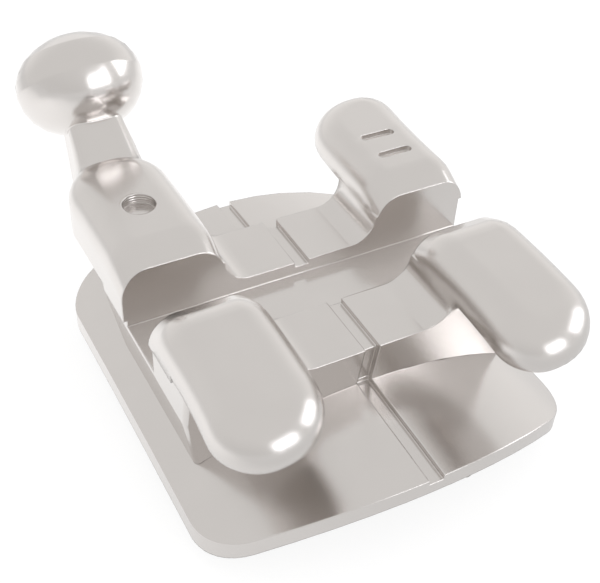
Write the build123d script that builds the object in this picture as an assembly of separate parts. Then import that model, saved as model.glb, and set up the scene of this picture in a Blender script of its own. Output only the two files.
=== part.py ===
from build123d import *
import math
import os

# Orthodontic twin bracket with a ball hook, in millimetres.
# +X runs along the archwire slot, +Y points to the gum (the hook side), +Z points away from the tooth.
# The origin is the middle of the slot's floor.

INCH = 25.4

# Archwire slot: 0.022 inch wide, 0.025 inch deep from the wings' crest.
slot_width = 0.022 * INCH
slot_depth = 0.025 * INCH
slot_half = slot_width / 2

# Tie wings, each a rounded bar. The crest falls to a lower rim beside the slot.
wing_inner_x = 0.715
wing_outer_x = 1.61
wing_tip_y = 1.85
short_wing_tip_y = 1.805
wing_thickness = 0.375
hook_wing_thickness = 0.62
wing_tip_shift = 0.08
hook_tip_shift = 0.02
wing_tight_corner = 0.32
wing_wide_corner = 0.56
hook_wing_corner = 0.44
short_wing_inner_corner = 0.51
short_wing_outer_corner = 0.37
wing_top_round = 0.24
wing_under_round = 0.12
rim_drop = 0.10
crest_y = 0.47
wing_free_y = 0.72
crest_blend_radius = 0.35

# Saddle between the twin wings, this far below their crest.
saddle_drop = 0.504
saddle_flat_half = 0.48
saddle_half_depth = 0.896

# Trunk under the saddle: its ends stand back from the wings, and ends and flanks taper down to the pad.
trunk_step = 0.03
trunk_break_drop = 0.04
trunk_end_taper = 11.0
trunk_flank_taper = 8.5
trunk_edge_round = 0.05

# Contoured pad: a shell of two curvatures with a bowed lower edge.
pad_drop = 0.289
pad_radius_x = 3.25
pad_radius_y = 45.0
pad_thickness = 0.15
pad_half_width = 1.68
pad_low_y = 1.906
pad_high_y = 1.87
pad_low_bow = 0.434
pad_high_bow = 0.06
pad_corner_low = 0.52
pad_corner_high = 0.44

# Scribe line along the middle.
scribe_width = 0.134
scribe_depth = 0.045

# Retention gauze: 80 wires to the inch, as many whole meshes as the pad has room for.
gauze_pitch = INCH / 80
gauze_wire = 0.14
gauze_thickness = 0.18
gauze_inset = 0.10

# Round recess on the hook's wing, off its middle by a shift, and two short slots on its neighbour.
recess_shift = 0.012
recess_y = 0.96
recess_radius = 0.140
recess_depth = 0.085
mark_y = 0.90
mark_spacing = 0.30
mark_length = 0.34
mark_width = 0.09
mark_depth = 0.05

# Ball hook: its axis leaves the wing's tip this far out and below the crest, and rises at an angle.
hook_shift = 0.028
hook_root_out = 0.057
hook_root_drop = 0.209
hook_reach = 0.755
hook_rise_angle = 45.75
# The neck's section is a rounded rectangle that narrows towards the ball.
neck_half_width = 0.285
neck_half_depth = 0.30
neck_corner = 0.17
neck_top_half_width = 0.213
neck_top_half_depth = 0.175
neck_sink = 0.15
ball_radius = 0.565
ball_top_height = 0.43
ball_top_rim = 0.35
ball_under_height = 0.435
ball_under_rim = 0.42

# Lengths that only make cutters and overlaps long enough, and the smallest gap that tells two edges apart.
margin = 0.5
body_floor = 1.10
tell = 0.001

pad_crown = -pad_drop
wing_middle_x = (wing_inner_x + wing_outer_x) / 2
saddle_height = slot_depth - saddle_drop
saddle_arc = wing_inner_x - saddle_flat_half
trunk_half_width = wing_outer_x - trunk_step
support_top = saddle_height + saddle_arc
foot_depth = body_floor - trunk_break_drop
foot_half_width = trunk_half_width - foot_depth * math.tan(math.radians(trunk_end_taper))


def dome(sink):
    """Solid under the pad's top surface, lowered by sink: an arc swung about a line along X."""
    arc_radius = pad_radius_x - sink
    swing = pad_radius_y - sink
    reach = pad_half_width + margin
    edge_z = math.sqrt(arc_radius ** 2 - reach ** 2) - arc_radius
    top = pad_crown - sink
    with BuildSketch(Plane.XZ) as half:
        with BuildLine():
            ThreePointArc((-reach, top + edge_z), (0, top), (reach, top + edge_z))
            Polyline((reach, top + edge_z), (reach, top - swing / 2), (-reach, top - swing / 2),
                     (-reach, top + edge_z))
        make_face()
    pivot = Axis((0, 0, top - swing), (1, 0, 0))
    sweep_angle = 2 * math.degrees(math.asin((pad_low_y + margin) / swing))
    turned = half.sketch.rotate(pivot, -sweep_angle / 2)
    return revolve(turned, axis=pivot, revolution_arc=sweep_angle)


def pad_outline(inset):
    """Pad outline seen from above: straight sides, rounded corners, bowed ends."""
    side = pad_half_width - inset
    low = pad_low_y - inset
    high = pad_high_y - inset
    with BuildSketch() as outline:
        with BuildLine():
            ThreePointArc((-side, pad_low_bow - low), (0, -low), (side, pad_low_bow - low))
            Line((side, pad_low_bow - low), (side, high - pad_high_bow))
            ThreePointArc((side, high - pad_high_bow), (0, high), (-side, high - pad_high_bow))
            Line((-side, high - pad_high_bow), (-side, pad_low_bow - low))
        make_face()
        fillet(outline.vertices().sort_by(Axis.Y)[:2], pad_corner_low - inset)
        fillet(outline.vertices().sort_by(Axis.Y)[-2:], pad_corner_high - inset)
    return outline.sketch


def flank_block(inset):
    """Block between the two leaning flanks, lowered sideways by inset."""
    lean = math.tan(math.radians(trunk_flank_taper))
    top_half = saddle_half_depth - inset + (support_top - saddle_height) * lean
    low_half = saddle_half_depth - inset - (saddle_height + body_floor) * lean
    with BuildSketch(Plane.YZ) as side:
        with BuildLine():
            Polyline((-low_half, -body_floor), (low_half, -body_floor), (top_half, support_top),
                     (-top_half, support_top), (-low_half, -body_floor))
        make_face()
    return extrude(side.sketch, wing_outer_x, both=True)


def saddle_block():
    """Front outline of trunk and saddle, carried straight through along Y."""
    foot = (foot_half_width, -body_floor)
    shoulder = (trunk_half_width, -trunk_break_drop)
    with BuildSketch(Plane.XZ) as front:
        with BuildLine():
            Polyline((-saddle_flat_half, saddle_height), (saddle_flat_half, saddle_height))
            RadiusArc((saddle_flat_half, saddle_height), (wing_inner_x, support_top), -saddle_arc)
            Polyline((wing_inner_x, support_top), (trunk_half_width, support_top),
                     shoulder, foot, (-foot[0], foot[1]), (-shoulder[0], shoulder[1]),
                     (-trunk_half_width, support_top), (-wing_inner_x, support_top))
            RadiusArc((-wing_inner_x, support_top), (-saddle_flat_half, saddle_height), -saddle_arc)
        make_face()
    return extrude(front.sketch, saddle_half_depth + margin, both=True)


def wing_bar(tip_y, thickness, shift, inner_corner, outer_corner):
    """Wing at +X +Y: a bar whose tip is shifted sideways, its top falling towards the slot."""
    under = slot_depth - thickness
    fall = rim_drop / (crest_y - slot_half)
    with BuildSketch(Plane.YZ) as side:
        with BuildLine():
            Polyline((0, under), (tip_y + margin, under), (tip_y + margin, slot_depth),
                     (crest_y, slot_depth), (0, slot_depth - fall * crest_y), (0, under))
        make_face()
    rail = extrude(side.sketch, 2 * wing_outer_x)
    crest = rail.edges().filter_by(Axis.X).sort_by(lambda e: abs(e.center().Y - crest_y))[0]
    rail = fillet(crest, crest_blend_radius)
    with BuildSketch() as plan:
        with BuildLine():
            Line((wing_inner_x, 0), (wing_inner_x, wing_free_y))
            TangentArc((wing_inner_x, wing_free_y), (wing_inner_x + shift, tip_y), tangent=(0, 1))
            Line((wing_inner_x + shift, tip_y), (wing_outer_x + shift, tip_y))
            TangentArc((wing_outer_x, wing_free_y), (wing_outer_x + shift, tip_y), tangent=(0, 1))
            Polyline((wing_outer_x, wing_free_y), (wing_outer_x, 0), (wing_inner_x, 0))
        make_face()
        fillet(plan.vertices().group_by(Axis.Y)[-1].sort_by(Axis.X)[0], inner_corner)
        fillet(plan.vertices().group_by(Axis.Y)[-1].sort_by(Axis.X)[-1], outer_corner)
    bar = rail & extrude(plan.sketch, body_floor + margin, both=True)

    def outward(edge):
        return abs(edge.center().X - wing_middle_x) > wing_top_round or edge.center().Y > tip_y - margin

    upper = [e for e in bar.edges() if e.bounding_box().min.Z > under + tell and outward(e)]
    bar = fillet(upper, wing_top_round)
    ledge = under + wing_under_round - math.sqrt(wing_under_round ** 2 - (wing_under_round - trunk_step) ** 2)
    cell = Box(2 * wing_outer_x, 2 * tip_y, 2 * body_floor, align=(Align.MIN, Align.MIN, Align.MIN))
    free = bar & cell.translate((0, wing_free_y, -body_floor))
    lower = [e for e in free.edges() if e.bounding_box().max.Z < under + tell and outward(e)]
    free = fillet(lower, wing_under_round)
    return free + (bar & cell.translate((0, wing_free_y - 2 * tip_y, ledge)))


def along_hook(distance):
    """Plane across the hook, at this distance from where its neck leaves the wing."""
    root = Vector(hook_shift - wing_middle_x, wing_tip_y + hook_root_out, slot_depth - hook_root_drop)
    rise = Vector(0, 1, 0).rotate(Axis.X, hook_rise_angle)
    return Plane(origin=root + rise * distance, x_dir=(1, 0, 0), z_dir=rise)


def neck_section(distance):
    """Rounded rectangle across the neck, which narrows evenly from its root to the ball."""
    share = distance / hook_reach
    half_width = neck_half_width + (neck_top_half_width - neck_half_width) * share
    half_depth = neck_half_depth + (neck_top_half_depth - neck_half_depth) * share
    corner = neck_corner * half_width / neck_half_width
    return along_hook(distance) * RectangleRounded(2 * half_width, 2 * half_depth, corner)


def ball_hook():
    """Neck that grows out of the wing's tip and narrows, and a ball flattened along it."""
    neck = loft([neck_section(-neck_sink), neck_section(hook_reach)], ruled=True)
    with BuildSketch(Plane.XZ) as half:
        with BuildLine():
            for height, rim, side in ((ball_top_height, ball_top_rim, 1), (ball_under_height, ball_under_rim, -1)):
                inside = ball_radius - rim
                crown = (inside ** 2 + height ** 2 - rim ** 2) / 2 / (height - rim)
                slope = math.degrees(math.atan2(crown - height, inside))
                CenterArc((inside, 0), rim, 0, side * slope)
                CenterArc((0, side * (height - crown)), crown, side * slope, side * (90 - slope))
            Line((0, ball_top_height), (0, -ball_under_height))
        make_face()
    return neck + along_hook(hook_reach) * revolve(half.sketch, axis=Axis.Z)


def scribe_slab(low_z, high_z):
    """Thin upright slab over the middle line."""
    long = 2 * (pad_low_y + margin)
    return Box(scribe_width, long, high_z - low_z, align=(Align.CENTER, Align.CENTER, Align.MIN)).translate(
        (0, 0, low_z))


def bracket_body():
    trunk = saddle_block() & flank_block(0)
    corners = trunk.edges().filter_by(lambda e: abs(e.center().X) > foot_half_width - margin / 2
                                      and abs(e.center().Y) > saddle_half_depth - margin / 2
                                      and abs(e.center().Z) > tell
                                      and e.bounding_box().size.Z > margin / 2)
    trunk = fillet(corners, trunk_edge_round)
    body = trunk - dome(0) - (scribe_slab(saddle_height - scribe_depth, slot_depth))
    body = body - (scribe_slab(-body_floor, slot_depth) - flank_block(scribe_depth))
    spread = wing_bar(wing_tip_y, wing_thickness, wing_tip_shift, wing_wide_corner, wing_tight_corner)
    short = wing_bar(short_wing_tip_y, wing_thickness, wing_tip_shift,
                     short_wing_inner_corner, short_wing_outer_corner)
    closed = wing_bar(wing_tip_y, wing_thickness, -wing_tip_shift, wing_tight_corner, wing_wide_corner)
    hooked = wing_bar(wing_tip_y, hook_wing_thickness, hook_tip_shift, hook_wing_corner, hook_wing_corner)
    body = body + spread + short.rotate(Axis.Z, 180) + closed.mirror(Plane.XZ) + hooked.mirror(Plane.YZ)
    body = body + ball_hook()
    slot = Box(2 * (wing_outer_x + margin), slot_width, body_floor,
               align=(Align.CENTER, Align.CENTER, Align.MIN))
    body = body - slot
    recess = Cylinder(recess_radius, recess_depth + margin, align=(Align.CENTER, Align.CENTER, Align.MIN))
    body = body - recess.translate((-wing_middle_x - recess_shift, recess_y, slot_depth - recess_depth))
    for side in (-1, 1):
        with BuildSketch() as mark:
            SlotOverall(mark_length, mark_width)
        cutter = extrude(mark.sketch, mark_depth + margin)
        place = (wing_middle_x, mark_y + side * mark_spacing / 2, slot_depth - mark_depth)
        body = body - cutter.translate(place)
    return body


def base_pad():
    shell = extrude(pad_outline(0), 2 * body_floor, both=True) & (dome(0) - dome(pad_thickness))
    groove = scribe_slab(-2 * body_floor, body_floor) - dome(scribe_depth)
    end = saddle_half_depth - (pad_drop + saddle_height) * math.tan(math.radians(trunk_flank_taper))
    covered = Box(2 * scribe_width, 2 * (end - scribe_depth), 2 * body_floor)
    return shell - (groove - covered)


def retention_mesh():
    """Net of square gaps, as many as fit, bent to the pad's underside."""
    across = int(2 * (pad_half_width - gauze_inset) / gauze_pitch)
    along = int((pad_high_y + pad_low_y - 2 * gauze_inset) / gauze_pitch)
    middle = Location((0, (pad_high_y - pad_low_y) / 2))
    gap = gauze_pitch - gauze_wire
    gaps = middle * GridLocations(gauze_pitch, gauze_pitch, across, along) * Rectangle(gap, gap)
    net = extrude(pad_outline(gauze_inset) - gaps, 2 * body_floor, both=True)
    return net & (dome(pad_thickness) - dome(pad_thickness + gauze_thickness))


if __name__ == "__main__":
    os.makedirs("parts", exist_ok=True)
    for name, make in (("bracket_body", bracket_body), ("base_pad", base_pad),
                       ("retention_mesh", retention_mesh)):
        piece = make()
        print(name, len(piece.solids()), round(piece.volume, 4), piece.bounding_box())
        export_step(piece, f"parts/{name}.step")
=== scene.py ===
"""Orthodontic bracket with a ball hook: finishes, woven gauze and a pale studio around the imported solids."""

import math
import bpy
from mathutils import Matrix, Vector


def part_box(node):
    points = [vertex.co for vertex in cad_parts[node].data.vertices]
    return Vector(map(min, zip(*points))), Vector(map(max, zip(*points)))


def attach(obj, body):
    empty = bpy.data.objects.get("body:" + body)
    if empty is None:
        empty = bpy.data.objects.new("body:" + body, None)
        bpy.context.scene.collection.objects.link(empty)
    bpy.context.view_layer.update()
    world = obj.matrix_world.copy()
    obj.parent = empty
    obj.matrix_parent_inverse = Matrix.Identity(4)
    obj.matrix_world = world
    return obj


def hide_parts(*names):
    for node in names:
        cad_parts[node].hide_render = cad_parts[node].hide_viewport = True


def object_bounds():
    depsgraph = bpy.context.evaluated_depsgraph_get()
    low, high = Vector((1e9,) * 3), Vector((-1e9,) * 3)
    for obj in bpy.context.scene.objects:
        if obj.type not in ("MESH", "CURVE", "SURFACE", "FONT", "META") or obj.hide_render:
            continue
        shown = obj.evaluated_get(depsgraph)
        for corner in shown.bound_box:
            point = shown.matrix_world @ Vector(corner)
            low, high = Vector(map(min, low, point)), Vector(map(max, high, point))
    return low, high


bl_info = {
    "name": "Orthodontic Bracket",
    "version": (1, 0, 0),
    "blender": (4, 5, 0),
    "location": "View3D > Sidebar > Bracket",
    "description": "Dresses a twin bracket with polished steel, a woven bonding gauze and a photo stage",
    "category": "Object",
}

import bpy
from bpy.props import FloatProperty, FloatVectorProperty, IntProperty, PointerProperty
from mathutils import Matrix, Vector

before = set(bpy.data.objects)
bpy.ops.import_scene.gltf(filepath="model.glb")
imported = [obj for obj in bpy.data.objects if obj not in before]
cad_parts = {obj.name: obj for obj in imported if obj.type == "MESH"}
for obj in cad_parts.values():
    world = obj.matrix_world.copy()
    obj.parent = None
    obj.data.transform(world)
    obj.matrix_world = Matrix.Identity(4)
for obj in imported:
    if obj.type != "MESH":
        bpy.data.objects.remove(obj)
CAD_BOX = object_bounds()

MM = 0.001
BODY = "root"
MATH = "ShaderNodeMath"
VECTOR_MATH = "ShaderNodeVectorMath"
SEPARATE = "ShaderNodeSeparateXYZ"
COMBINE = "ShaderNodeCombineXYZ"

# Where tumbling rounds the wings' rims, in millimetres: not at all at the first value, fully at the second.
# A wing's sides are worn away from its middle line, which lies this far from the bracket's middle.
WING_MIDDLE = 1.1625
WORN_OFF_MIDDLE = (0.17, 0.27)
WORN_TOWARDS_TIP = (-1.25, -1.45)
WORN_OFF_SLOT = (0.34, 0.50)
WORN_BEFORE_HOOK = (2.00, 1.85)
WORN_ABOVE_SADDLE = (0.20, 0.35)

# The axis of the round recess, and where the rings on its wall fade in: its radius is 0.14 mm.
RECESS_AXIS = (-1.1745, 0.96, 0.0)
RINGS_WITHIN = (0.16, 0.15)
RINGS_ABOVE = (0.48, 0.53)

# Camera: places in millimetres, roll in degrees, focal length in pixels of an image 600 pixels wide.
IMAGE_WIDTH = 600
FOCAL_PIXELS = 1054.35
SENSOR_WIDTH = 36.0
CAMERA_STAND = (-3.474, -5.706, 5.817)
CAMERA_AIM = (-0.1243, 0.0668, 0.0)
CAMERA_ROLL = 3.25
CAMERA_REACH = (0.1, 1000.0)

# Softboxes: azimuth and elevation in degrees, angles that the width and height fill, and a share of the
# strength. An azimuth is counted from +Y towards +X.
SOFTBOXES = {
    "front_softbox": (158, 18, 38, 25, 1.0),
    "side_softbox": (100, 18, 31, 25, 0.9),
}
BOX_DISTANCE = 70.0

# The tent is brightest at the back and low down, between these sines of the angle above the floor.
BACK_AZIMUTH = 30
TENT_LOW = (0.80, 0.10)

# In millimetres: the floor's half width, and where the mirrored sheet brightens and fades to the tent.
FLOOR_HALF = 120.0
SHEET_AZIMUTH = -28
SHEET_BRIGHTENS = (-4.0, 4.0)
SHEET_FADES = (5.0, 16.0)


def linear(hex_colour):
    """Linear RGBA of an sRGB hex colour such as #CBC7C3."""
    channels = [int(hex_colour[i:i + 2], 16) / 255 for i in (1, 3, 5)]
    return tuple(c / 12.92 if c <= 0.04045 else ((c + 0.055) / 1.055) ** 2.4 for c in channels) + (1.0,)


def heading(azimuth, elevation=0.0):
    """Unit vector towards an azimuth and an angle above the floor, in degrees."""
    turn, rise = math.radians(azimuth), math.radians(elevation)
    return Vector((math.sin(turn) * math.cos(rise), math.cos(turn) * math.cos(rise), math.sin(rise)))


def add_node(tree, kind, inputs=None, **settings):
    """Node with these settings; an input is set, or linked to a socket or to a node's first live output."""
    node = tree.nodes.new(kind)
    for key, value in settings.items():
        setattr(node, key, value)
    for key, value in (inputs or {}).items():
        if isinstance(value, bpy.types.Node):
            value = next(output for output in value.outputs if output.enabled)
        if isinstance(value, bpy.types.NodeSocket):
            tree.links.new(value, node.inputs[key])
        else:
            node.inputs[key].default_value = value
    return node


def new_material(name):
    """Material without nodes, and its node tree."""
    material = bpy.data.materials.new(name)
    material.use_nodes = True
    material.node_tree.nodes.clear()
    return material, material.node_tree


def soft_mask(tree, *runs):
    """Product of soft runs, each of them 0 where its value is at the run's start and 1 at its end."""
    masks = [add_node(tree, "ShaderNodeMapRange", {"Value": value, "From Min": start, "From Max": end},
                      interpolation_type="SMOOTHSTEP") for value, (start, end) in runs]
    share = masks[0]
    for mask in masks[1:]:
        share = add_node(tree, MATH, {0: share, 1: mask}, operation="MULTIPLY")
    return share


def colour_property(name, description, hex_colour):
    return FloatVectorProperty(name=name, description=description, subtype="COLOR", size=4, min=0.0,
                               max=1.0, default=linear(hex_colour))


def length_property(name, description, millimetres):
    return FloatProperty(name=name, description=description, unit="LENGTH", min=0.0, precision=6,
                         default=millimetres * MM)


def share_property(name, description, share):
    return FloatProperty(name=name, description=description, subtype="FACTOR", min=0.0, max=1.0,
                         default=share)


def strength_property(name, description, strength):
    return FloatProperty(name=name, description=description, min=0.0, default=strength)


class BracketSteel(bpy.types.PropertyGroup):
    """Tones, blur, worn edges and fine relief of the polished steel"""
    light_tone: colour_property("Light tone", "Steel where the tumbling polished it most", "#DAD6D3")
    dark_tone: colour_property("Dark tone", "Steel a little duller", "#D6D2CF")
    body_roughness: share_property("Body roughness", "Blur of the body's reflections", 0.20)
    pad_roughness: share_property("Pad roughness", "Blur of the pad's reflections", 0.22)
    edge_radius: length_property("Edge radius", "Radius that tumbling leaves on every edge", 0.018)
    rim_radius: length_property("Rim radius", "Radius that tumbling adds to the wings' rims", 0.17)
    ring_pitch: length_property("Ring pitch", "Distance between the rings in the round recess", 0.024)
    ring_height: length_property("Ring height", "Half the rings' height", 0.002)
    ripple_size: length_property("Ripple size", "Distance across one ripple of the sintered skin", 0.35)
    ripple_height: length_property("Ripple height", "Height of the skin's ripples", 0.0012)


class BracketGauze(bpy.types.PropertyGroup):
    """Weave and finish of the gauze under the pad"""
    pitch: length_property("Pitch", "Distance between wires, 80 to the inch", 25.4 / 80)
    wire_radius: length_property("Wire radius", "Radius of one wire", 0.050)
    swing: length_property("Swing", "How far a wire goes up and down past its neighbours", 0.038)
    inset: length_property("Inset", "Distance from the pad's edge to the wires' ends", 0.10)
    sides: IntProperty(name="Sides", description="Sides of a wire's section", min=3, default=8)
    steps: IntProperty(name="Steps", description="Steps of a wire between two neighbours", min=2, default=8)
    light_tone: colour_property("Light tone", "Crests of the wire's grain", "#A8A4A0")
    dark_tone: colour_property("Dark tone", "Hollows of the wire's grain", "#8F8B87")
    roughness: share_property("Roughness", "Blur of the wire's reflections", 0.38)
    grain_size: length_property("Grain size", "Distance across one grain of the sintered wire", 0.03)
    grain_height: length_property("Grain height", "Height of the wire's grain", 0.002)


class BracketStage(bpy.types.PropertyGroup):
    """Floor, light tent and softboxes"""
    floor_tone: colour_property("Floor tone", "Matt sheet under the bracket", "#8A8A8A")
    floor_lift: strength_property("Floor lift", "Light added to the sheet where it is seen", 0.83)
    mirror_front: strength_property("Mirrored front", "Light added where the sheet's front is mirrored", 0.57)
    mirror_back: strength_property("Mirrored back", "Light added where the sheet's back is mirrored", 1.00)
    mirror_far: strength_property("Mirrored far", "Light added where the sheet is mirrored far off", 0.61)
    tent_tone: colour_property("Tent tone", "Inside of the light tent", "#FFFEFD")
    tent_strength: strength_property("Tent strength", "Brightness of the light tent overhead", 0.85)
    backdrop_gain: strength_property("Backdrop gain", "How much brighter it is low down at the back", 0.20)
    front_loss: strength_property("Front loss", "How much darker it is low down at the front", 0.07)
    box_tone: colour_property("Softbox tone", "Cloth in front of the softboxes", "#F8FAFF")
    box_strength: strength_property("Softbox strength", "Brightness of the softboxes", 2.5)


def worn_radius(tree, place, settings):
    """Edge radius: large round the wings' rims, small at the slot, the saddle, the marks and the hook."""
    x, y, z = add_node(tree, SEPARATE, {"Vector": place}).outputs
    either_side = add_node(tree, VECTOR_MATH, {0: place}, operation="ABSOLUTE")
    off_centre = add_node(tree, SEPARATE, {"Vector": either_side}).outputs
    from_middle = add_node(tree, MATH, {0: off_centre["X"], 1: WING_MIDDLE}, operation="SUBTRACT")
    off_middle = add_node(tree, MATH, {0: from_middle}, operation="ABSOLUTE")
    side = soft_mask(tree, (off_middle, WORN_OFF_MIDDLE))
    tip = soft_mask(tree, (y, WORN_TOWARDS_TIP))
    rim = add_node(tree, MATH, {0: side, 1: tip}, operation="MAXIMUM")
    free = soft_mask(tree, (off_centre["Y"], WORN_OFF_SLOT), (y, WORN_BEFORE_HOOK), (z, WORN_ABOVE_SADDLE))
    share = add_node(tree, MATH, {0: rim, 1: free}, operation="MULTIPLY")
    return add_node(tree, MATH, {0: share, 1: settings.rim_radius, 2: settings.edge_radius},
                    operation="MULTIPLY_ADD")


def turned_rings(tree, place, settings):
    """Fine rings that the tool left on the wall of the round recess, from -1 to 1."""
    z = add_node(tree, SEPARATE, {"Vector": place}).outputs["Z"]
    level = add_node(tree, VECTOR_MATH, {0: place, 1: (1.0, 1.0, 0.0)}, operation="MULTIPLY")
    off_axis = add_node(tree, VECTOR_MATH, {0: level, 1: RECESS_AXIS}, operation="DISTANCE")
    turn = add_node(tree, MATH, {0: z, 1: 2 * math.pi * MM / settings.ring_pitch}, operation="MULTIPLY")
    ring = add_node(tree, MATH, {0: turn}, operation="SINE")
    inside = soft_mask(tree, (off_axis, RINGS_WITHIN), (z, RINGS_ABOVE))
    return add_node(tree, MATH, {0: ring, 1: inside}, operation="MULTIPLY")


def polished_steel(name, settings, roughness):
    """Stainless steel, tumbled bright: a soft mirror with round edges and a skin that ripples faintly."""
    material, tree = new_material(name)
    place = add_node(tree, "ShaderNodeTexCoord").outputs["Object"]
    place_mm = add_node(tree, VECTOR_MATH, {0: place, "Scale": 1 / MM}, operation="SCALE")
    ripple = add_node(tree, "ShaderNodeTexNoise", {
        "Vector": place, "Scale": 1 / settings.ripple_size, "Detail": 2.0, "Roughness": 0.45})
    tone = add_node(tree, "ShaderNodeMix", {
        "Factor": ripple.outputs["Fac"], "A": settings.dark_tone, "B": settings.light_tone}, data_type="RGBA")
    edge = add_node(tree, "ShaderNodeBevel", {"Radius": worn_radius(tree, place_mm, settings)}, samples=12)
    skin = add_node(tree, "ShaderNodeBump", {
        "Strength": 0.5, "Distance": settings.ripple_height, "Height": ripple.outputs["Fac"], "Normal": edge})
    rings = add_node(tree, "ShaderNodeBump", {
        "Distance": settings.ring_height, "Height": turned_rings(tree, place_mm, settings), "Normal": skin})
    shader = add_node(tree, "ShaderNodeBsdfPrincipled", {
        "Metallic": 1.0, "Roughness": roughness, "Base Color": tone, "Normal": rings})
    add_node(tree, "ShaderNodeOutputMaterial", {"Surface": shader})
    return material


def gauze_steel(settings):
    """Type 316L stainless steel wire, drawn, woven and sintered to the pad: fine grain, no mirror."""
    material, tree = new_material("gauze_steel")
    place = add_node(tree, "ShaderNodeTexCoord").outputs["Object"]
    grain = add_node(tree, "ShaderNodeTexNoise", {
        "Vector": place, "Scale": 1 / settings.grain_size, "Detail": 3.0, "Roughness": 0.6}).outputs["Fac"]
    tone = add_node(tree, "ShaderNodeMix", {
        "Factor": grain, "A": settings.dark_tone, "B": settings.light_tone}, data_type="RGBA")
    bump = add_node(tree, "ShaderNodeBump", {
        "Strength": 0.6, "Distance": settings.grain_height, "Height": grain})
    shader = add_node(tree, "ShaderNodeBsdfPrincipled", {
        "Metallic": 1.0, "Roughness": settings.roughness, "Base Color": tone, "Normal": bump})
    add_node(tree, "ShaderNodeOutputMaterial", {"Surface": shader})
    return material


def dress_node(name, material):
    """Gives a solid of the frame its material."""
    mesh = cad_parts[name].data
    mesh.materials.clear()
    mesh.materials.append(material)


class BRACKET_OT_body(bpy.types.Operator):
    """Polish the cast body with its wings and ball hook"""
    bl_idname = "bracket.body"
    bl_label = "Body"

    def execute(self, context):
        # Type 630 stainless steel, injection moulded and sintered, which tumbling leaves bright and round.
        steel = context.scene.bracket_steel
        dress_node("bracket_body", polished_steel("tumbled_steel", steel, steel.body_roughness))
        return {"FINISHED"}


class BRACKET_OT_pad(bpy.types.Operator):
    """Polish the pad that is bonded to the tooth"""
    bl_idname = "bracket.pad"
    bl_label = "Pad"

    def execute(self, context):
        # Type 304 stainless steel foil, rolled, stamped and tumbled with the body: a little duller.
        steel = context.scene.bracket_steel
        dress_node("base_pad", polished_steel("rolled_steel", steel, steel.pad_roughness))
        return {"FINISHED"}


GAUZE_INPUTS = {"Pad": "NodeSocketObject", "Material": "NodeSocketMaterial", "Middle": "NodeSocketVector",
                "Size": "NodeSocketVector", "Pitch": "NodeSocketFloat", "Wire radius": "NodeSocketFloat",
                "Swing": "NodeSocketFloat", "Inset": "NodeSocketFloat", "Sides": "NodeSocketInt",
                "Steps": "NodeSocketInt"}
X_AXIS = Vector((1.0, 0.0, 0.0))
Y_AXIS = Vector((0.0, 1.0, 0.0))
UPWARD = {"Ray Direction": (0.0, 0.0, 1.0), "Ray Length": 1.0}


def straight_wires(tree, given, gaps, to_crossing, along, across):
    """Stepped curves that run straight along one axis, a pitch apart across it, below the pad."""
    own_gaps = add_node(tree, VECTOR_MATH, {0: gaps, 1: across}, operation="DOT_PRODUCT")
    count = add_node(tree, MATH, {0: own_gaps, 1: 1.0}, operation="ADD")
    gap = add_node(tree, VECTOR_MATH, {0: across, "Scale": given["Pitch"]}, operation="SCALE")
    start = add_node(tree, VECTOR_MATH, {0: to_crossing, 1: across, 2: given["Middle"]},
                     operation="MULTIPLY_ADD")
    row = add_node(tree, "GeometryNodeMeshLine", {"Count": count, "Start Location": start, "Offset": gap},
                   mode="OFFSET")
    ends = {key: add_node(tree, VECTOR_MATH, {0: given["Size"], 1: along * half}, operation="MULTIPLY")
            for key, half in (("Start", -0.5), ("End", 0.5))}
    line = add_node(tree, "GeometryNodeCurvePrimitiveLine", ends)
    step = add_node(tree, MATH, {0: given["Pitch"], 1: given["Steps"]}, operation="DIVIDE")
    stepped = add_node(tree, "GeometryNodeResampleCurve", {"Curve": line, "Length": step}, mode="LENGTH")
    copies = add_node(tree, "GeometryNodeInstanceOnPoints", {"Points": row, "Instance": stepped})
    return add_node(tree, "GeometryNodeRealizeInstances", {"Geometry": copies})


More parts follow.
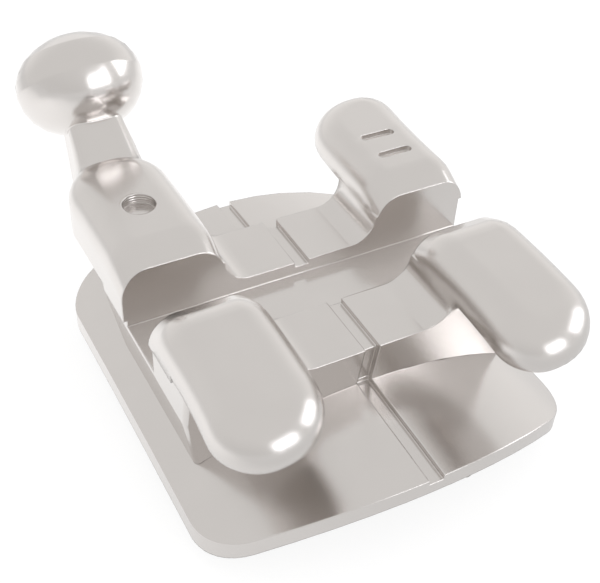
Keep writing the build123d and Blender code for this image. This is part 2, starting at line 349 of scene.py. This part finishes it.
def woven_wires(tree, given, gaps, to_crossing, along, across, side):
    """Wires along one axis, above (1) or below (-1) those across them where the first two cross.

    That crossing is counted from the middle. The wires end an inset from the pad's edge.
    """
    wires = straight_wires(tree, given, gaps, to_crossing, along, across)
    pad = add_node(tree, "GeometryNodeObjectInfo", {"Object": given["Pad"]}).outputs["Geometry"]
    place = add_node(tree, "GeometryNodeInputPosition")
    from_middle = add_node(tree, VECTOR_MATH, {0: place, 1: given["Middle"]}, operation="SUBTRACT")
    outward = add_node(tree, VECTOR_MATH, {0: from_middle}, operation="SIGN")
    inset = add_node(tree, COMBINE, {"X": given["Inset"], "Y": given["Inset"]})
    beyond = add_node(tree, VECTOR_MATH, {0: outward, 1: inset, 2: place}, operation="MULTIPLY_ADD")
    edge = add_node(tree, "GeometryNodeRaycast", {
        "Target Geometry": pad, "Source Position": beyond, **UPWARD})
    outside = add_node(tree, "FunctionNodeBooleanMath", {0: edge.outputs["Is Hit"]}, operation="NOT")
    cut = add_node(tree, "GeometryNodeDeleteGeometry", {"Geometry": wires, "Selection": outside},
                   domain="POINT")

    from_crossing = add_node(tree, VECTOR_MATH, {0: from_middle, 1: to_crossing}, operation="SUBTRACT")
    half_turn = add_node(tree, MATH, {0: math.pi, 1: given["Pitch"]}, operation="DIVIDE")
    turns = add_node(tree, VECTOR_MATH, {0: from_crossing, "Scale": half_turn}, operation="SCALE")
    cosines = add_node(tree, VECTOR_MATH, {0: turns}, operation="COSINE")
    waves = add_node(tree, SEPARATE, {"Vector": cosines}).outputs
    wave = add_node(tree, MATH, {0: waves["X"], 1: waves["Y"]}, operation="MULTIPLY")
    swing = add_node(tree, MATH, {0: given["Swing"], 1: side}, operation="MULTIPLY")
    rise = add_node(tree, MATH, {0: wave, 1: swing}, operation="MULTIPLY")
    depth = add_node(tree, MATH, {0: given["Wire radius"], 1: given["Swing"]}, operation="ADD")
    height = add_node(tree, MATH, {0: rise, 1: depth}, operation="SUBTRACT")
    offset = add_node(tree, COMBINE, {"Z": height})
    under = add_node(tree, "GeometryNodeRaycast", {
        "Target Geometry": pad, "Source Position": place, **UPWARD})
    bent = add_node(tree, "GeometryNodeSetPosition", {
        "Geometry": cut, "Position": under.outputs["Hit Position"], "Offset": offset})
    section = add_node(tree, "GeometryNodeCurvePrimitiveCircle", {
        "Resolution": given["Sides"], "Radius": given["Wire radius"]}, mode="RADIUS")
    return add_node(tree, "GeometryNodeCurveToMesh", {
        "Curve": bent, "Profile Curve": section, "Fill Caps": True}).outputs["Mesh"]


def weave_tree():
    """Gauze of woven wires that lies against the pad's underside."""
    tree = bpy.data.node_groups.new("woven_gauze", "GeometryNodeTree")
    for name, kind in GAUZE_INPUTS.items():
        tree.interface.new_socket(name=name, in_out="INPUT", socket_type=kind)
    tree.interface.new_socket(name="Geometry", in_out="OUTPUT", socket_type="NodeSocketGeometry")
    given = add_node(tree, "NodeGroupInput").outputs
    pitches = add_node(tree, VECTOR_MATH, {0: given["Size"], 1: given["Pitch"]}, operation="DIVIDE")
    gaps = add_node(tree, VECTOR_MATH, {0: pitches}, operation="FLOOR")
    half_back = add_node(tree, MATH, {0: given["Pitch"], 1: -0.5}, operation="MULTIPLY")
    to_crossing = add_node(tree, VECTOR_MATH, {0: gaps, "Scale": half_back}, operation="SCALE")
    both = add_node(tree, "GeometryNodeJoinGeometry")
    for along, across, side in ((X_AXIS, Y_AXIS, -1.0), (Y_AXIS, X_AXIS, 1.0)):
        wires = woven_wires(tree, given, gaps, to_crossing, along, across, side)
        tree.links.new(wires, both.inputs["Geometry"])
    smooth = add_node(tree, "GeometryNodeSetShadeSmooth", {"Geometry": both})
    whole = add_node(tree, "GeometryNodeRealizeInstances", {"Geometry": smooth})
    painted = add_node(tree, "GeometryNodeSetMaterial", {"Geometry": whole, "Material": given["Material"]})
    add_node(tree, "NodeGroupOutput", {"Geometry": painted})
    return tree


def baked_mesh(name, tree, values):
    """Plain mesh that a Geometry Nodes tree makes from these inputs, as an object at the origin."""
    piece = bpy.data.objects.new(name, bpy.data.meshes.new(name))
    bpy.context.scene.collection.objects.link(piece)
    modifier = piece.modifiers.new(name, "NODES")
    modifier.node_group = tree
    for item in tree.interface.items_tree:
        if item.in_out == "INPUT":
            modifier[item.identifier] = values[item.name]
    evaluated = piece.evaluated_get(bpy.context.evaluated_depsgraph_get())
    mesh = bpy.data.meshes.new_from_object(evaluated)
    piece.modifiers.remove(modifier)
    piece.data = mesh
    return piece


class BRACKET_OT_gauze(bpy.types.Operator):
    """Weave the gauze under the pad"""
    bl_idname = "bracket.gauze"
    bl_label = "Gauze"

    def execute(self, context):
        settings = context.scene.bracket_gauze
        low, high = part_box("retention_mesh")
        high.z = low.z
        gauze = baked_mesh("woven_gauze", weave_tree(), {
            "Pad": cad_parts["base_pad"], "Material": gauze_steel(settings),
            "Middle": (low + high) / 2, "Size": high - low, "Pitch": settings.pitch,
            "Wire radius": settings.wire_radius, "Swing": settings.swing, "Inset": settings.inset,
            "Sides": settings.sides, "Steps": settings.steps})
        if not gauze.data.polygons:
            raise RuntimeError("The gauze came out empty")
        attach(gauze, BODY)
        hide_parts("retention_mesh")
        return {"FINISHED"}


def softbox(name, away, wide_angle, high_angle, tone, strength):
    """Soft lamp that faces the bracket from far off."""
    lamp = bpy.data.lights.new(name, "AREA")
    lamp.shape = "RECTANGLE"
    lamp.color = tone[:3]
    lamp.size = 2 * BOX_DISTANCE * MM * math.tan(math.radians(wide_angle) / 2)
    lamp.size_y = 2 * BOX_DISTANCE * MM * math.tan(math.radians(high_angle) / 2)
    lamp.energy = strength * math.pi * lamp.size * lamp.size_y
    holder = bpy.data.objects.new(name, lamp)
    holder.location = away * BOX_DISTANCE * MM
    holder.rotation_mode = "QUATERNION"
    holder.rotation_quaternion = away.to_track_quat("Z", "Y")
    holder.visible_camera = False
    bpy.context.scene.collection.objects.link(holder)


def photo_camera():
    """Camera at its stand, turned to its aim and rolled a little."""
    data = bpy.data.cameras.new("photo_camera")
    data.sensor_fit = "HORIZONTAL"
    data.sensor_width = SENSOR_WIDTH
    data.lens = FOCAL_PIXELS * SENSOR_WIDTH / IMAGE_WIDTH
    data.clip_start, data.clip_end = (reach * MM for reach in CAMERA_REACH)
    camera = bpy.data.objects.new("photo_camera", data)
    stand = Vector(CAMERA_STAND) * MM
    level = (stand - Vector(CAMERA_AIM) * MM).to_track_quat("Z", "Y")
    camera.rotation_mode = "QUATERNION"
    camera.rotation_quaternion = level @ Matrix.Rotation(math.radians(CAMERA_ROLL), 4, "Z").to_quaternion()
    camera.location = stand
    bpy.context.scene.collection.objects.link(camera)
    bpy.context.scene.camera = camera


def tent_world(settings):
    """Light tent: brighter low down at the back, darker low down at the front, and white to the camera."""
    world = bpy.data.worlds.new("light_tent")
    world.use_nodes = True
    tree = world.node_tree
    tree.nodes.clear()
    direction = add_node(tree, "ShaderNodeTexCoord").outputs["Generated"]
    height = add_node(tree, SEPARATE, {"Vector": direction}).outputs["Z"]
    depth = add_node(tree, VECTOR_MATH, {0: direction, 1: heading(BACK_AZIMUTH)}, operation="DOT_PRODUCT")
    strength = settings.tent_strength
    for side, gain in ((1.0, settings.backdrop_gain), (-1.0, -settings.front_loss)):
        share = soft_mask(tree, (depth, (0.0, side)), (height, TENT_LOW))
        strength = add_node(tree, MATH, {0: share, 1: gain, 2: strength}, operation="MULTIPLY_ADD")
    light = add_node(tree, "ShaderNodeBackground", {"Color": settings.tent_tone, "Strength": strength})
    seen = add_node(tree, "ShaderNodeBackground", {"Color": linear("#FFFFFF"), "Strength": 1.0})
    path = add_node(tree, "ShaderNodeLightPath")
    mix = add_node(tree, "ShaderNodeMixShader", {"Fac": path.outputs["Is Camera Ray"], 1: light, 2: seen})
    add_node(tree, "ShaderNodeOutputWorld", {"Surface": mix})
    bpy.context.scene.world = world


def paper_white(settings):
    """Matt paper, lifted to white where it is seen or mirrored; the bracket's shadow stays on it."""
    material, tree = new_material("white_paper")
    place = add_node(tree, "ShaderNodeTexCoord").outputs["Object"]
    place_mm = add_node(tree, VECTOR_MATH, {0: place, "Scale": 1 / MM}, operation="SCALE")
    depth = add_node(tree, VECTOR_MATH, {0: place_mm, 1: heading(SHEET_AZIMUTH)}, operation="DOT_PRODUCT")
    off_middle = add_node(tree, VECTOR_MATH, {0: place_mm}, operation="LENGTH")
    near = add_node(tree, MATH, {
        0: soft_mask(tree, (depth, SHEET_BRIGHTENS)), 1: settings.mirror_back - settings.mirror_front,
        2: settings.mirror_front}, operation="MULTIPLY_ADD")
    mirrored = add_node(tree, "ShaderNodeMix", {
        "Factor": soft_mask(tree, (off_middle, SHEET_FADES)), "A": near, "B": settings.mirror_far},
        data_type="FLOAT")
    path = add_node(tree, "ShaderNodeLightPath").outputs
    seen = add_node(tree, MATH, {0: path["Is Camera Ray"], 1: settings.floor_lift}, operation="MULTIPLY")
    lift = add_node(tree, MATH, {0: path["Is Glossy Ray"], 1: mirrored, 2: seen}, operation="MULTIPLY_ADD")
    paper = add_node(tree, "ShaderNodeBsdfDiffuse", {"Color": settings.floor_tone})
    glow = add_node(tree, "ShaderNodeEmission", {"Color": linear("#FFFFFF"), "Strength": lift})
    both = add_node(tree, "ShaderNodeAddShader", {0: paper, 1: glow})
    add_node(tree, "ShaderNodeOutputMaterial", {"Surface": both})
    return material


class BRACKET_OT_stage(bpy.types.Operator):
    """Set up the floor, the lamps, the light tent and the camera"""
    bl_idname = "bracket.stage"
    bl_label = "Stage"

    def execute(self, context):
        settings = context.scene.bracket_stage
        half = FLOOR_HALF * MM
        low_z = CAD_BOX[0].z
        corners = [(x * half, y * half, low_z) for x, y in ((-1, -1), (1, -1), (1, 1), (-1, 1))]
        mesh = bpy.data.meshes.new("paper_floor")
        mesh.from_pydata(corners, [], [(0, 1, 2, 3)])
        mesh.materials.append(paper_white(settings))
        floor = bpy.data.objects.new("paper_floor", mesh)
        context.scene.collection.objects.link(floor)
        for name, (azimuth, elevation, wide, high, share) in SOFTBOXES.items():
            softbox(name, heading(azimuth, elevation), wide, high, settings.box_tone,
                    share * settings.box_strength)
        tent_world(settings)
        photo_camera()
        context.scene.view_settings.view_transform = "Standard"
        return {"FINISHED"}


class BRACKET_PT_panel(bpy.types.Panel):
    """Lists the steps and the values that can be changed"""
    bl_idname = "BRACKET_PT_panel"
    bl_label = "Orthodontic Bracket"
    bl_space_type = "VIEW_3D"
    bl_region_type = "UI"
    bl_category = "Bracket"

    def draw(self, context):
        for operator in OPERATORS:
            self.layout.operator(operator.bl_idname)
        for name, group in GROUPS.items():
            box = self.layout.box()
            for key in group.__annotations__:
                box.prop(getattr(context.scene, name), key)


GROUPS = {"bracket_steel": BracketSteel, "bracket_gauze": BracketGauze, "bracket_stage": BracketStage}
OPERATORS = (BRACKET_OT_body, BRACKET_OT_pad, BRACKET_OT_gauze, BRACKET_OT_stage)


def register():
    for name, group in GROUPS.items():
        bpy.utils.register_class(group)
        setattr(bpy.types.Scene, name, PointerProperty(type=group))
    for cls in (*OPERATORS, BRACKET_PT_panel):
        bpy.utils.register_class(cls)


def unregister():
    for cls in (BRACKET_PT_panel, *reversed(OPERATORS)):
        bpy.utils.unregister_class(cls)
    for name, group in reversed(GROUPS.items()):
        delattr(bpy.types.Scene, name)
        bpy.utils.unregister_class(group)


def main():
    register()
    bpy.ops.bracket.body()
    bpy.ops.bracket.pad()
    bpy.ops.bracket.gauze()
    bpy.ops.bracket.stage()


if __name__ == "__main__":
    main()
